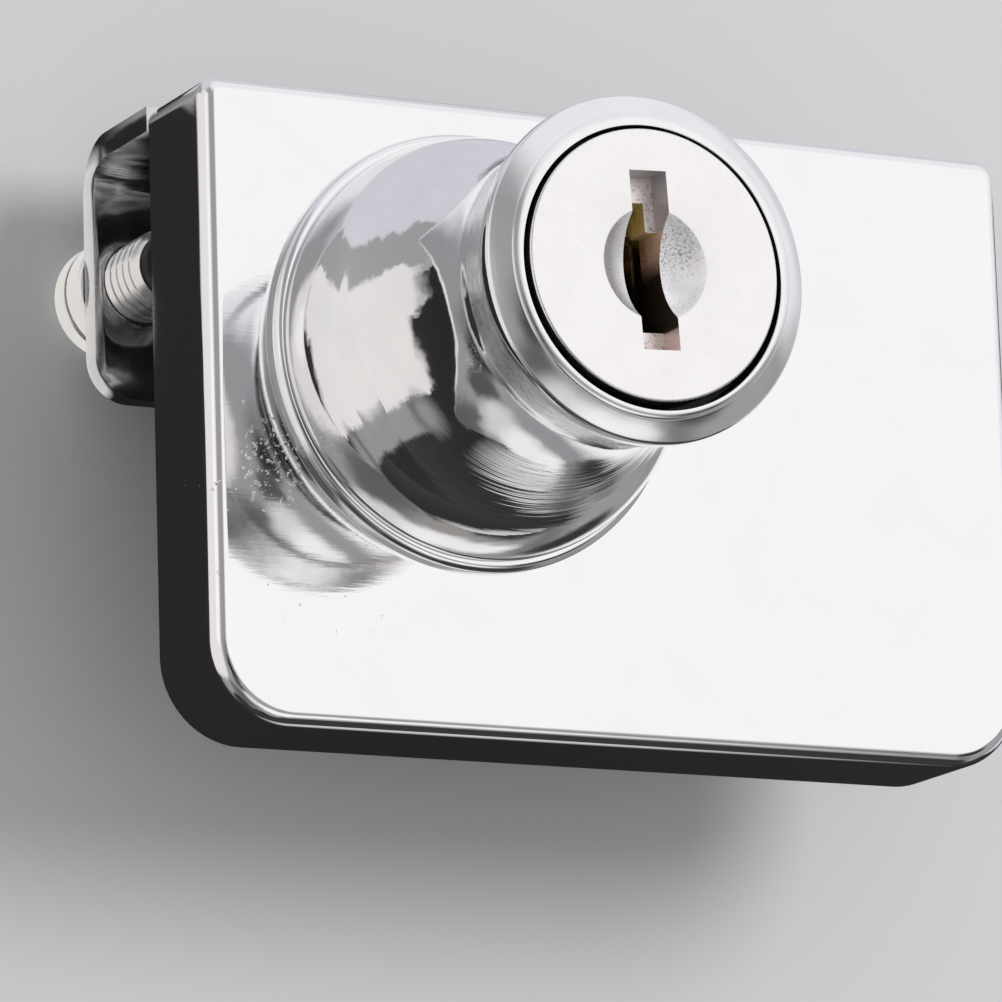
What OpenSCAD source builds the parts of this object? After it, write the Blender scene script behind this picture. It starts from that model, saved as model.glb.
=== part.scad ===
// Lock for a glass cabinet door. It clamps on the door's edge and needs no hole in the glass.
// X runs along the glass edge, +Y points out past that edge, +Z points out of the knob.
// The origin lies on the face that the glass rests on, midway between the two clamp screws.

/* [Case] */
// Width of the case along the glass edge
case_w = 43; // [41:0.5:60]
// Height of the case, from the glass edge inwards
case_h = 30.4; // [28:0.2:45]
// Depth of the case, front to back
case_d = 6; // [5.8:0.1:9]
// Thickness of the case's walls
case_wall = 1.3; // [1.2:0.1:1.8]
// Radius of the two lower corners
low_corner_r = 4; // [2:0.5:6]
// Radius of the two upper corners
top_corner_r = 1; // [0.9:0.1:2]
// Rounding of the front edge
edge_r = 0.8; // [0.4:0.1:0.8]

/* [Knob] */
// Distance of the knob's axis from the left side
knob_from_left = 13.65; // [13:0.05:22]
// Distance of the knob's axis from the top
knob_from_top = 12.25; // [11.5:0.05:16]
// Radius of the rim that sits on the case
rim_r = 10.5; // [10.4:0.1:11.2]
// Thickness of that rim
rim_t = 0.7; // [0.4:0.1:1]
// Radius of the dome where it leaves the rim
dome_r = 10.05; // [9.9:0.05:10.3]
// Rounding of the dome's shoulder
shoulder_r = 6.5; // [6:0.1:7]
// Radius of the neck at its waist
neck_r = 6.9; // [6.8:0.1:7.2]
// Height of the waist above the case
waist_h = 11; // [10:0.5:12]
// Height where the neck meets the flange
neck_h = 13.9; // [13.5:0.1:14.4]
// Outer radius of the front flange
flange_r = 8; // [7.8:0.1:8.8]
// Height of the flange's widest edge
flange_h = 16.8; // [16.5:0.1:17]
// Rise of the lip around the plug above that edge
lip_rise = 0.9; // [0.6:0.1:1.2]

/* [Plug] */
// Radius of the plug's body
plug_r = 4.8; // [4.6:0.05:5]
// Radius of the plug's round face
face_r = 6.25; // [6:0.05:6.4]
// Thickness of the face disc
face_t = 1.6; // [1.6:0.1:2]
// Height of the face above the lip
face_rise = 0.1; // [0:0.05:0.4]
// Radius of the dimple's rim
dimple_r = 2.56; // [2:0.02:3]
// Depth of the dimple
dimple_depth = 1.4; // [0.8:0.1:1.4]
// Width of the key slot
key_w = 1.86; // [1.6:0.02:2]
// Height of the key slot in the face
key_h = 8.2; // [7.2:0.1:8.4]
// Depth of the shallow step at the slot's ends
key_step = 1.4; // [1:0.1:1.5]
// Length of key that the plug takes
key_len = 14.5; // [14:0.5:16]
// Side of the square tail
tail_w = 4.4; // [4:0.1:4.6]

/* [Wafers] */
// Thickness of a wafer
wafer_t = 0.8; // [0.6:0.05:1]
// Width of a wafer
wafer_w = 5.4; // [4.8:0.1:5.4]
// Distance from one wafer to the next
wafer_pitch = 2; // [1.7:0.1:2.1]
// How far a wafer drops into the housing
wafer_drop = 0.6; // [0.4:0.05:0.7]
// Outer radius of a wafer spring
spring_r = 0.55; // [0.5:0.05:0.6]
// Radius of its wire
wire_r = 0.09; // [0.07:0.01:0.09]

/* [Bolt] */
// Width of the bolt
bolt_w = 13; // [12.6:0.1:15]
// Radius of the crank pin's circle
crank_r = 4.4; // [4:0.1:4.6]
// Radius of the crank pin
pin_r = 0.9; // [0.7:0.05:1]
// Thickness of the drive cam
cam_t = 1.1; // [0.9:0.05:1.2]
// How far the bolt lies inside the case when drawn back
bolt_set = 0.3; // [0:0.1:1]

/* [Bracket] */
// Thickness of the bracket's sheet
sheet_t = 1.2; // [1:0.05:1.4]
// Free space between the pad and the rear leg
glass_gap = 5.9; // [5.4:0.1:9]
// Length of the rear leg from the top
leg_h = 12.6; // [11:0.1:16]
// Radius of the leg's lower corners
leg_corner_r = 2.1; // [1:0.1:3]
// Outer radius of the rear bend
bend_r = 2.6; // [2:0.1:3.2]
// Thickness of the glass pad
pad_t = 0.5; // [0.4:0.1:1]

/* [Clamp screws] */
// Distance of a clamp screw from the bracket's end
screw_from_end = 2.5; // [2.4:0.1:6]
// Distance of the clamp screws from the top
screw_from_top = 6.85; // [6:0.05:8]
// Radius of the screw's thread
screw_r = 2; // [1.6:0.1:2.1]
// Radius of the screw's head
head_r = 2.8; // [2.6:0.1:3.2]
// Height of the screw's head
head_h = 3.2; // [2.4:0.1:4]
// Space between pad and tip with the screw fully in
tip_gap = 2.1; // [1.5:0.1:2.4]
// Radius of the soft tip
tip_r = 1.6; // [1.2:0.1:1.8]

/* [Hidden] */
$fn = 64;

// Clearances
fit = 0.05;          // radial, of a shaft or screw in its hole
slide_gap = 0.2;     // of a sliding piece from its guides, front and back
side_gap = 0.15;     // of a sliding piece from its guides, left and right
seat_gap = 0.1;      // of the cover inside the case
face_gap = 0.25;     // of the plug's face in the flange
web_gap = 0.15;      // of the bracket's web from the ends of its cut in the case
over = 1;            // how far a cut runs past a face
joined = 0.2;        // how far two shapes of one piece run into each other
hole_run = 0.3;      // how far a screw hole runs past the screw's end

// Case and bracket
x_left = -case_w / 2;
y_top = screw_from_top;
y_low = y_top - case_h;
z_front = pad_t + case_d;
z_inner = z_front - case_wall;
z_cover = pad_t + sheet_t;
z_leg = -glass_gap - sheet_t;
y_web = y_top - sheet_t;
cover_w = case_w - 2 * (case_wall + seat_gap);
least_r = 0.2;
inner_low_r = max(low_corner_r - case_wall, least_r);
inner_top_r = 0.4;
bend_inner_r = 0.1;                 // inside radius of the front bend
front_bend_r = sheet_t + bend_inner_r;
z_step = pad_t - bend_inner_r - fit;  // the web's ends stop here, behind the case's side walls

// Knob and plug
knob_x = x_left + knob_from_left;
knob_y = y_top - knob_from_top;
bore_r = plug_r + fit;
spigot_step = 0.1;                  // the spigot is this much slimmer than the neck
spigot_r = neck_r - spigot_step;
lip_h = flange_h + lip_rise;
z_lip = z_front + lip_h;
z_face = z_lip + face_rise;
recess_r = face_r + face_gap;
z_recess = z_face - face_t - seat_gap;
groove_r = plug_r - fit + wafer_drop + slide_gap;
groove_w = wafer_w + 2 * slide_gap;
groove_land = 1;                    // solid wall between the grooves and the face's recess
z_groove = z_recess - groove_land;
face_edge = 0.12;                   // bevel around the plug's face
edge_round = 0.25;                  // rounding of the rim and of the flange's edge
flange_in = 0.5;                    // how far the flange's foot lies inside its edge
crease_h = 0.15;                    // height of the crease between neck and flange
band_h = 0.5;                       // height of the flange's upright edge
lip_w = 0.25;                       // half the width of the lip around the plug
lip_drop = 0.1;                     // how far the lip falls towards the plug
key_up = 0.2;                       // the slot's centre lies this far above the axis
key_low = -2.8;                     // lower end of the deep keyway
key_high = [3.15, 1.8];             // upper ends of its left and right parts
key_split = 0.42;                   // where those parts meet
key_lean = 3;                       // lean of the slot and of the wafers' windows, in degrees

// Wafers
wafer_count = 5;
wafer_first = 3.4;                  // from the plug's face to the middle of the first wafer
wafer_end_r = plug_r - fit;
window_side = 0.07;                 // free space of a key in the window
window_w = key_w + 2 * window_side;
window_h = 4.6;
window_shift = [-0.3, -0.6, 0.15, -0.45, 0];
lug_y = -0.6;
lug_edge = 0.15;                    // of the spring from the wafer's side
spring_x = wafer_w / 2 - spring_r - lug_edge;
spring_low = -3.3;
spring_turns = 4;
spring_rings = 8;
spring_sides = 6;
pocket_r = spring_r + seat_gap;

// Drive and bolt
crank_start = 225;
z_cam = z_inner - side_gap;
z_cam_low = z_cam - cam_t;
hub_r = 3.4;
arm_wall = 0.9;
arm_r = pin_r + arm_wall;
cam_head_r = 2.8;
cam_head_t = 0.6;
cam_screw_r = 1.2;
cam_screw_len = 4.5;
hub_gap = 0.3;                      // of the bolt from the cam's hub and screw
tail_reach = 6.5;                   // of the bolt's tail below the knob's axis
bolt_bevel = 0.8;
z_bolt = z_cover + slide_gap;
z_tail = z_cam_low - slide_gap;
z_nose = z_inner - slide_gap;
y_bolt = y_top - bolt_set;
y_nose = knob_y + hub_r + hub_gap;
y_tail = knob_y - tail_reach;
slot_play = 0.25;                   // takes up the crank's small swing off a straight line
rib_w = 1;

// Small countersunk screws of knob and cover
small_r = 0.8;
small_head_r = 1.5;
small_head_h = 0.8;
boss_r = 2;
end_gap = 0.6;                      // of a cover screw's end from the case's front wall
boss_drop = 2.8;                    // of the upper bosses below the upper wall
head_margin = 0.75;                 // of a cover screw's head from the cover's edge
cover_screw_len = z_inner - pad_t - end_gap;
boss_x = cover_w / 2 - small_head_r - head_margin;
boss_y = [y_top - case_wall - boss_drop,
    y_low + case_wall + seat_gap + small_head_r + head_margin];
small_cross = [0.85, 0.3, 0.45];    // reach, width and depth of a driver recess
cam_cross = [1.3, 0.5, 0.4];
clamp_cross = [1.6, 0.7, 1.2];
housing_screw_pcr = 8.6;
housing_grip = 2.3;                 // length of its thread in the knob
housing_screw_len = case_wall + housing_grip;
rib_drop = 0.6;

// Clamp screws
screw_x = case_w / 2 - screw_from_end;
z_tip = -tip_gap;
tip_t = 0.5;
z_screw_end = z_tip - tip_t - fit;
z_head = z_leg - seat_gap;
stem_r = 0.8;
stem_len = 1.4;

silver = [0.86, 0.86, 0.88];
satin = [0.80, 0.80, 0.81];
steel = [0.70, 0.71, 0.73];
brass = [0.72, 0.58, 0.28];
dark = [0.12, 0.12, 0.13];

// Points of an arc from angle a to angle b, both in degrees
function arc(c, r, a, b, n) = [for (i = [0:n])
    c + r * [cos(a + (b - a) * i / n), sin(a + (b - a) * i / n)]];

// Rectangle with its own radius at the upper and at the lower corners
function plate_outline(x0, x1, y0, y1, r_low, r_high) = concat(
    arc([x1 - r_low, y0 + r_low], r_low, -90, 0, 8),
    arc([x1 - r_high, y1 - r_high], r_high, 0, 90, 8),
    arc([x0 + r_high, y1 - r_high], r_high, 90, 180, 8),
    arc([x0 + r_low, y0 + r_low], r_low, 180, 270, 8));

// Profile of one corner of the case: a column whose upper edge is rounded
module corner_column(r) {
    rotate_extrude($fn = 32)
        polygon(concat([[0, pad_t], [r, pad_t]],
            arc([r - edge_r, z_front - edge_r], edge_r, 0, 90, 6), [[0, z_front]]));
}

module case_shell() {
    hull() {
        for (side = [-1, 1]) {
            translate([side * (case_w / 2 - low_corner_r), y_low + low_corner_r, 0])
                corner_column(low_corner_r);
            translate([side * (case_w / 2 - top_corner_r), y_top - top_corner_r, 0])
                corner_column(top_corner_r);
        }
    }
}

// Countersunk hole along +Z: the head's wide face at z = 0
module countersink(depth) {
    translate([0, 0, -over]) cylinder(r = small_r + fit, h = depth + over);
    cylinder(r1 = small_head_r + fit, r2 = small_r + fit, h = small_head_h);
    translate([0, 0, -over]) cylinder(r = small_head_r + fit, h = over);
}

module countersunk_screw(length) {
    difference() {
        union() {
            cylinder(r1 = small_head_r, r2 = small_r, h = small_head_h);
            cylinder(r = small_r, h = length);
        }
        cross_recess(small_cross);
    }
}

// Cross-shaped driver recess in a face at z = 0, cut towards +Z
module cross_recess(size) {
    for (a = [0, 90])
        rotate(a) translate([-size[0], -size[1] / 2, -over]) cube([2 * size[0], size[1], size[2] + over]);
}

module at_knob() {
    translate([knob_x, knob_y, 0]) children();
}

module at_housing_screws() {
    for (side = [-1, 1])
        translate([knob_x, knob_y + side * housing_screw_pcr, z_inner]) children();
}

module at_cover_screws() {
    for (side = [-1, 1], y = boss_y)
        translate([side * boss_x, y, pad_t]) children();
}

// Sub-parts

module case() {
    color(silver) difference() {
        union() {
            difference() {
                case_shell();
                translate([0, 0, pad_t - over]) linear_extrude(z_inner - pad_t + over)
                    polygon(plate_outline(x_left + case_wall, -x_left - case_wall,
                        y_low + case_wall, y_top - case_wall, inner_low_r, inner_top_r));
            }
            at_cover_screws() translate([0, 0, sheet_t]) cylinder(r = boss_r, h = z_inner - z_cover + joined);
            for (side = [-1, 1]) guide_rib(side);
        }
        // Room for the bracket's web where it passes through the upper wall
        translate([-cover_w / 2 - web_gap, y_web - 2 * seat_gap, pad_t - over])
            cube([cover_w + 2 * web_gap, sheet_t + 2 * over, z_cover - pad_t + seat_gap + over]);
        // Slot that the bolt leaves through
        translate([knob_x - bolt_w / 2 - side_gap, y_top - case_wall - over / 2, pad_t])
            cube([bolt_w + 2 * side_gap, case_wall + over, z_nose + slide_gap / 2 - pad_t]);
        at_knob() translate([0, 0, z_inner - over]) cylinder(r = spigot_r + fit, h = case_wall + 2 * over);
        at_housing_screws() countersink(case_wall + over);
        at_cover_screws() cylinder(r = small_r + fit, h = cover_screw_len + hole_run);
    }
}

// Rib that guides one side of the bolt
module guide_rib(side) {
    x = side * (bolt_w / 2 + side_gap + rib_w / 2);
    translate([knob_x + x - rib_w / 2, y_tail - rib_drop, z_bolt])
        cube([rib_w, y_top - case_wall - y_tail + rib_drop + joined, z_inner - z_bolt + joined]);
}

// Outline of the knob above the case's face: dome and neck are two arcs that meet smoothly
module knob_profile() {
    dome_c = [dome_r - shoulder_r, rim_t];
    rise = waist_h - rim_t;
    inset = neck_r - dome_c[0];
    neck_arc_r = (inset * inset + rise * rise - shoulder_r * shoulder_r) / (2 * (shoulder_r - inset));
    neck_c = [neck_r + neck_arc_r, waist_h];
    meet = atan2(neck_c[1] - dome_c[1], neck_c[0] - dome_c[0]);
    neck_end = 180 - asin((neck_h - waist_h) / neck_arc_r);
    polygon(concat(
        [[0, -case_wall], [spigot_r, -case_wall], [spigot_r, 0], [rim_r, 0]],
        arc([rim_r - edge_round, rim_t - edge_round], edge_round, 0, 90, 4),
        arc(dome_c, shoulder_r, 0, meet, 16),
        arc(neck_c, neck_arc_r, 180 + meet, neck_end, 20),
        [[flange_r - flange_in, neck_h + crease_h], [flange_r, flange_h - band_h]],
        arc([flange_r - edge_round, flange_h - edge_round / 2], edge_round, 0, 60, 4),
        [[recess_r + 2 * lip_w, lip_h - lip_w], [recess_r + lip_w, lip_h],
            [recess_r, lip_h - lip_drop], [0, lip_h - lip_drop]]));
}

module knob_housing() {
    color(silver) difference() {
        at_knob() translate([0, 0, z_front]) rotate_extrude($fn = 96) knob_profile();
        at_knob() translate([0, 0, z_inner - over]) cylinder(r = bore_r, h = z_face - z_inner);
        at_knob() translate([0, 0, z_recess]) cylinder(r = recess_r, h = face_t + over);
        // Grooves that the wafers lock into, at each quarter turn
        at_knob() for (a = [0:90:270])
            rotate(a) translate([-groove_w / 2, 0, z_inner - over])
                cube([groove_w, groove_r, z_groove - z_inner + over]);
        at_housing_screws() cylinder(r = small_r + fit, h = housing_screw_len + hole_run);
    }
}

module housing_screws() {
    color(steel) at_housing_screws() countersunk_screw(housing_screw_len);
}

function wafer_z(i) = z_face - wafer_first - i * wafer_pitch;
function spring_side(i) = i % 2 == 0 ? 1 : -1;

// Deep keyway with its side step, and the shallow slot that shows in the face
module keyway() {
    translate([-key_w / 2, -key_h / 2 + key_up, z_face - key_step]) cube([key_w, key_h, key_step + over]);
    for (part = [[key_w / 2 + key_split, key_high[0]], [key_w, key_high[1]]])
        translate([-key_w / 2, key_low, z_face - key_len]) cube([part[0], part[1] - key_low, key_len]);
}

module plug() {
    dimple_ball = (dimple_r * dimple_r + dimple_depth * dimple_depth) / (2 * dimple_depth);
    color(satin) at_knob() difference() {
        union() {
            translate([0, 0, z_cam]) cylinder(r = plug_r, h = z_face - face_t - z_cam + joined);
            translate([0, 0, z_face - face_t]) cylinder(r = face_r, h = face_t - face_edge);
            translate([0, 0, z_face - face_edge])
                cylinder(r1 = face_r, r2 = face_r - face_edge, h = face_edge);
            translate([-tail_w / 2, -tail_w / 2, z_cam_low + fit]) cube([tail_w, tail_w, cam_t + joined]);
        }
        translate([0, 0, z_face + dimple_ball - dimple_depth]) sphere(r = dimple_ball);
        rotate(key_lean) keyway();
        for (i = [0:wafer_count - 1]) {
            translate([-wafer_w / 2 - fit, -plug_r - over, wafer_z(i) - wafer_t / 2 - fit])
                cube([wafer_w + 2 * fit, 2 * (plug_r + over), wafer_t + 2 * fit]);
            translate([spring_side(i) * spring_x, spring_low - fit, wafer_z(i)])
                rotate([-90, 0, 0]) cylinder(r = pocket_r, h = lug_y - spring_low, $fn = 32);
        }
        translate([0, 0, z_cam_low - over])
            cylinder(r = cam_screw_r + fit, h = cam_screw_len + over + hole_run);
    }
}

// Brass plate with a window for the key, and a notch whose upper side is the spring's lug
module wafer(i) {
    side = spring_side(i);
    color(brass) at_knob() translate([0, 0, wafer_z(i) - wafer_t / 2]) linear_extrude(wafer_t) difference() {
        intersection() {
            circle(r = wafer_end_r);
            square([wafer_w, 2 * plug_r], center = true);
        }
        rotate(key_lean) translate([-window_w / 2, -window_h / 2 + window_shift[i]])
            square([window_w, window_h]);
        translate([side > 0 ? spring_x - pocket_r : -spring_x + pocket_r - wafer_w, -plug_r])
            square([wafer_w, plug_r + lug_y]);
    }
}

// Middle of the spring's wire after a share t of its turns, with the spring along Y
function coil_point(t, length) =
    [(spring_r - wire_r) * cos(360 * spring_turns * t), wire_r + (length - 2 * wire_r) * t,
        (spring_r - wire_r) * sin(360 * spring_turns * t)];
function coil_ring(t, length) = [for (k = [0:spring_sides - 1])
    let (a = 360 * spring_turns * t, b = 360 * k / spring_sides, out = [cos(a), 0, sin(a)])
    coil_point(t, length) + wire_r * (cos(b) * out + sin(b) * [0, 1, 0])];

spring_len = lug_y - spring_low - 2 * fit;
spring_steps = spring_turns * spring_rings;
coil_middle = [for (s = [0:spring_steps]) coil_point(s / spring_steps, spring_len)];
coil_gap = min([for (s = [0:spring_steps - spring_rings])
    norm(coil_middle[s + spring_rings] - coil_middle[s])]) - 2 * wire_r;
echo(least_gap_between_spring_turns = coil_gap);

module wafer_spring(i) {
    n = spring_sides;
    points = [for (s = [0:spring_steps]) each coil_ring(s / spring_steps, spring_len)];
    wall = [for (s = [0:spring_steps - 1], k = [0:n - 1])
        let (a = s * n + k, b = s * n + (k + 1) % n) each [[a, b, a + n], [b, b + n, a + n]]];
    caps = [for (k = [1:n - 2]) each [[0, k + 1, k],
        [spring_steps * n, spring_steps * n + k, spring_steps * n + k + 1]]];
    color(steel) at_knob() translate([spring_side(i) * spring_x, spring_low + fit, wafer_z(i)])
        polyhedron(points, concat(wall, caps));
}

module drive_cam() {
    color(steel) at_knob() difference() {
        union() {
            translate([0, 0, z_cam_low]) cylinder(r = hub_r, h = cam_t);
            rotate(crank_start) {
                translate([0, -arm_r, z_cam_low]) cube([crank_r, 2 * arm_r, cam_t]);
                translate([crank_r, 0, z_cam_low]) cylinder(r = arm_r, h = cam_t);
                translate([crank_r, 0, z_bolt]) cylinder(r = pin_r, h = z_cam_low - z_bolt + cam_t / 2);
            }
        }
        translate([-tail_w / 2 - fit, -tail_w / 2 - fit, z_cam_low - over])
            cube([tail_w + 2 * fit, tail_w + 2 * fit, cam_t + 2 * over]);
    }
}

module cam_screw() {
    color(steel) at_knob() difference() {
        union() {
            translate([0, 0, z_cam_low - cam_head_t]) cylinder(r = cam_head_r, h = cam_head_t);
            translate([0, 0, z_cam_low - cam_head_t])
                cylinder(r = cam_screw_r, h = cam_head_t + cam_screw_len);
        }
        translate([0, 0, z_cam_low - cam_head_t]) cross_recess(cam_cross);
    }
}

module bolt() {
    relief_r = cam_head_r + hub_gap;
    z_relief = z_cam_low - cam_head_t - slide_gap;
    slot_r = pin_r + slot_play;
    pin_y = crank_r * sin(crank_start);
    pin_x = [-crank_r - side_gap, crank_r * cos(crank_start) + side_gap];
    color(steel) at_knob() difference() {
        union() {
            translate([-bolt_w / 2, y_tail - knob_y, z_bolt])
                cube([bolt_w, y_bolt - y_tail, z_tail - z_bolt]);
            translate([-bolt_w / 2, y_nose - knob_y, z_bolt])
                cube([bolt_w, y_bolt - y_nose, z_nose - z_bolt]);
        }
        // Slot for the crank pin
        for (x = pin_x) translate([x, pin_y, z_bolt - over])
            cylinder(r = slot_r, h = z_nose - z_bolt + 2 * over);
        translate([pin_x[0], pin_y - slot_r, z_bolt - over])
            cube([pin_x[1] - pin_x[0], 2 * slot_r, z_nose - z_bolt + 2 * over]);
        // Channel that clears the cam screw's head
        translate([-relief_r, y_tail - knob_y - over, z_relief])
            cube([2 * relief_r, y_nose - y_tail + over, z_tail - z_relief + over]);
        // Bevel of the leading edge, front and back
        for (z = [z_bolt, z_nose]) translate([-bolt_w / 2 - over, y_bolt - knob_y, z])
            rotate([45, 0, 0]) translate([0, -bolt_bevel / 2, -bolt_bevel / 2])
                cube([bolt_w + 2 * over, bolt_bevel, bolt_bevel]);
    }
}

// Section of the bent sheet, from the leg's end to the cover's end, drawn with Y to the right and Z up
module sheet_section() {
    rear_c = [y_top - bend_r, z_leg + bend_r];
    front_c = [y_top - front_bend_r, z_cover - front_bend_r];
    polygon(concat(
        [[y_top - leg_h - over, z_leg]],
        arc(rear_c, bend_r, -90, 0, 8),
        arc(front_c, front_bend_r, 0, 90, 8),
        [[y_low, z_cover], [y_low, pad_t]],
        arc(front_c, bend_inner_r, 90, 0, 4),
        arc(rear_c, bend_r - sheet_t, 0, -90, 8),
        [[y_top - leg_h - over, -glass_gap]]));
}

// The sheet's section swept along X, trimmed to the leg's outline behind and to the cover's inside the case
module clamp_bracket() {
    cover_r = max(inner_low_r - seat_gap, least_r);
    color(steel) difference() {
        intersection() {
            translate([x_left - over, 0, 0]) rotate([90, 0, 90]) linear_extrude(case_w + 2 * over)
                sheet_section();
            union() {
                translate([0, 0, z_leg - over]) linear_extrude(z_step - z_leg + over)
                    polygon(plate_outline(x_left, -x_left, y_top - leg_h, y_top + over,
                        leg_corner_r, least_r));
                translate([0, 0, z_step - joined]) linear_extrude(z_cover - z_step + joined + over)
                    polygon(plate_outline(-cover_w / 2, cover_w / 2,
                        y_low + case_wall + seat_gap, y_top + over, cover_r, least_r));
            }
        }
        for (side = [-1, 1])
            translate([side * screw_x, 0, z_leg - over]) cylinder(r = screw_r + fit, h = sheet_t + 2 * over);
        at_cover_screws() countersink(sheet_t + over);
    }
}

module cover_screws() {
    color(steel) at_cover_screws() countersunk_screw(cover_screw_len);
}

module glass_pad() {
    margin = 1.4;
    corner_r = 1;
    color(dark) linear_extrude(pad_t)
        polygon(plate_outline(-cover_w / 2 + margin, cover_w / 2 - margin, y_low + case_wall + margin,
            y_web - margin, inner_low_r, corner_r));
}

// Threaded pin with a grooved round head, along +Z from the head to the glass
module clamp_screw(side) {
    mid = z_head - head_h / 2;
    groove = 0.15;
    groove_depth = 0.3;
    round_r = 0.5;
    seat_bevel = 0.15;
    chamfer = 0.35;
    color(steel) translate([side * screw_x, 0, 0]) difference() {
        rotate_extrude() polygon(concat(
            [[0, z_head - head_h]],
            arc([head_r - round_r, z_head - head_h + round_r], round_r, -90, 0, 5),
            [[head_r, mid - groove], [head_r - groove_depth, mid - groove],
                [head_r - groove_depth, mid + groove], [head_r, mid + groove],
                [head_r, z_head - seat_bevel], [head_r - seat_bevel, z_head],
                [screw_r, z_head], [screw_r, z_screw_end - chamfer], [screw_r - chamfer, z_screw_end],
                [0, z_screw_end]]));
        translate([0, 0, z_screw_end - stem_len - fit]) cylinder(r = stem_r + fit, h = stem_len + over);
        translate([0, 0, z_head - head_h]) cross_recess(clamp_cross);
    }
}

module screw_tip(side) {
    edge = 0.15;
    z_stem = z_tip - tip_t - stem_len;
    color(dark) translate([side * screw_x, 0, 0]) rotate_extrude()
        polygon([[0, z_stem], [stem_r, z_stem], [stem_r, z_tip - tip_t],
            [tip_r, z_tip - tip_t], [tip_r, z_tip - edge], [tip_r - edge, z_tip], [0, z_tip]]);
}

case();
knob_housing();
housing_screws();
plug();
wafer(0);  // wafer_1
wafer(1);  // wafer_2
wafer(2);  // wafer_3
wafer(3);  // wafer_4
wafer(4);  // wafer_5
wafer_spring(0);  // wafer_spring_1
wafer_spring(1);  // wafer_spring_2
wafer_spring(2);  // wafer_spring_3
wafer_spring(3);  // wafer_spring_4
wafer_spring(4);  // wafer_spring_5
drive_cam();
cam_screw();
bolt();
clamp_bracket();
cover_screws();
glass_pad();
clamp_screw(-1);  // clamp_screw_left
clamp_screw(1);  // clamp_screw_right
screw_tip(-1);  // screw_tip_left
screw_tip(1);  // screw_tip_right
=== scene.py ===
import bmesh
import bpy
import math
from mathutils import Matrix, Vector


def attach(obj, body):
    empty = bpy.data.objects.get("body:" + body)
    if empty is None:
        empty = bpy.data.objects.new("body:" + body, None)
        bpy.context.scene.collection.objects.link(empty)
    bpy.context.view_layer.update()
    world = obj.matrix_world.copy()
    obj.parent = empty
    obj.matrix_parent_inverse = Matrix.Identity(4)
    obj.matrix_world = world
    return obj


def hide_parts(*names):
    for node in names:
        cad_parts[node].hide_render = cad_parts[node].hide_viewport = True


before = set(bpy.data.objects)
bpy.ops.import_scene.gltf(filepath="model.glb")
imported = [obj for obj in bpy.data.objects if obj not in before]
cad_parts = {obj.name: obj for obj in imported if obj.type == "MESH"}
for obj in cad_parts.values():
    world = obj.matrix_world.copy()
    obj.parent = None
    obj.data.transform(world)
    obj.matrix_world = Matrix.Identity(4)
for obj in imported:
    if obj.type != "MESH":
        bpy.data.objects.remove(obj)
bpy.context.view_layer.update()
scene = bpy.context.scene
mm = 0.001
print("frame loaded with", len(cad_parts), "nodes")

# where the main pieces sit, in millimetres of the part's own frame
knobX, knobY = -7.85, -5.4
plateFront = 6.5
caseBack = 0.5
plugFace = 24.3

# the way from the origin to the knob's axis, in metres
knobShift = (knobX * mm, knobY * mm, 0)

# how far cutters reach past what they cut
past = 1


# small tools for meshes

def addPiece(name, mesh):
    piece = bpy.data.objects.new(name, mesh)
    scene.collection.objects.link(piece)
    return piece


def tidyMesh(mesh, merge=1e-7):
    work = bmesh.new()
    work.from_mesh(mesh)
    bmesh.ops.remove_doubles(work, verts=work.verts, dist=merge)
    bmesh.ops.dissolve_degenerate(work, edges=work.edges, dist=merge)
    bmesh.ops.recalc_face_normals(work, faces=work.faces)
    work.to_mesh(mesh)
    work.free()
    mesh.update()


def pieceFrom(name, points, faces):
    mesh = bpy.data.meshes.new(name)
    mesh.from_pydata([Vector(p) * mm for p in points], [], faces)
    tidyMesh(mesh)
    return addPiece(name, mesh)


def smoothFaces(mesh, angle):
    mesh.polygons.foreach_set("use_smooth", [True] * len(mesh.polygons))
    mesh.set_sharp_from_angle(angle=math.radians(angle))
    mesh.update()


def bakeModifiers(piece):
    graph = bpy.context.evaluated_depsgraph_get()
    made = bpy.data.meshes.new_from_object(piece.evaluated_get(graph))
    piece.modifiers.clear()
    piece.data = made
    return piece


def breakEdges(piece, width, angle):
    edge = piece.modifiers.new("edge", "BEVEL")
    edge.width = width * mm
    edge.segments = 2
    edge.limit_method = "ANGLE"
    edge.angle_limit = math.radians(angle)
    bakeModifiers(piece)


def carve(piece, cutters, operation="DIFFERENCE"):
    for cutter in cutters:
        step = piece.modifiers.new("carve", "BOOLEAN")
        step.operation = operation
        step.solver = "EXACT"
        step.object = cutter
        bakeModifiers(piece)
        bpy.data.objects.remove(cutter)


# turns a piece's mesh about an axis through the origin, then moves it by metres
def moved(piece, shift, angle, axis="Z"):
    piece.data.transform(Matrix.Translation(shift) @ Matrix.Rotation(math.radians(angle), 4, axis))
    return piece


def block(low, high):
    x0, y0, z0 = low
    x1, y1, z1 = high
    points = [(x, y, z) for z in (z0, z1) for y in (y0, y1) for x in (x0, x1)]
    faces = [(0, 2, 3, 1), (4, 5, 7, 6), (0, 1, 5, 4), (2, 6, 7, 3), (0, 4, 6, 2), (1, 3, 7, 5)]
    return pieceFrom("cutter", points, faces)


def rod(centre, radius, low, high, steps=48, topRadius=None):
    topRadius = radius if topRadius is None else topRadius
    return lathe("cutter", [(0, low), (radius, low), (topRadius, high), (0, high)], centre, steps)


def arc(centre, radius, start, stop, steps):
    points = []
    for i in range(steps + 1):
        a = math.radians(start + (stop - start) * i / steps)
        points.append((centre[0] + radius * math.cos(a), centre[1] + radius * math.sin(a)))
    return points


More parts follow.
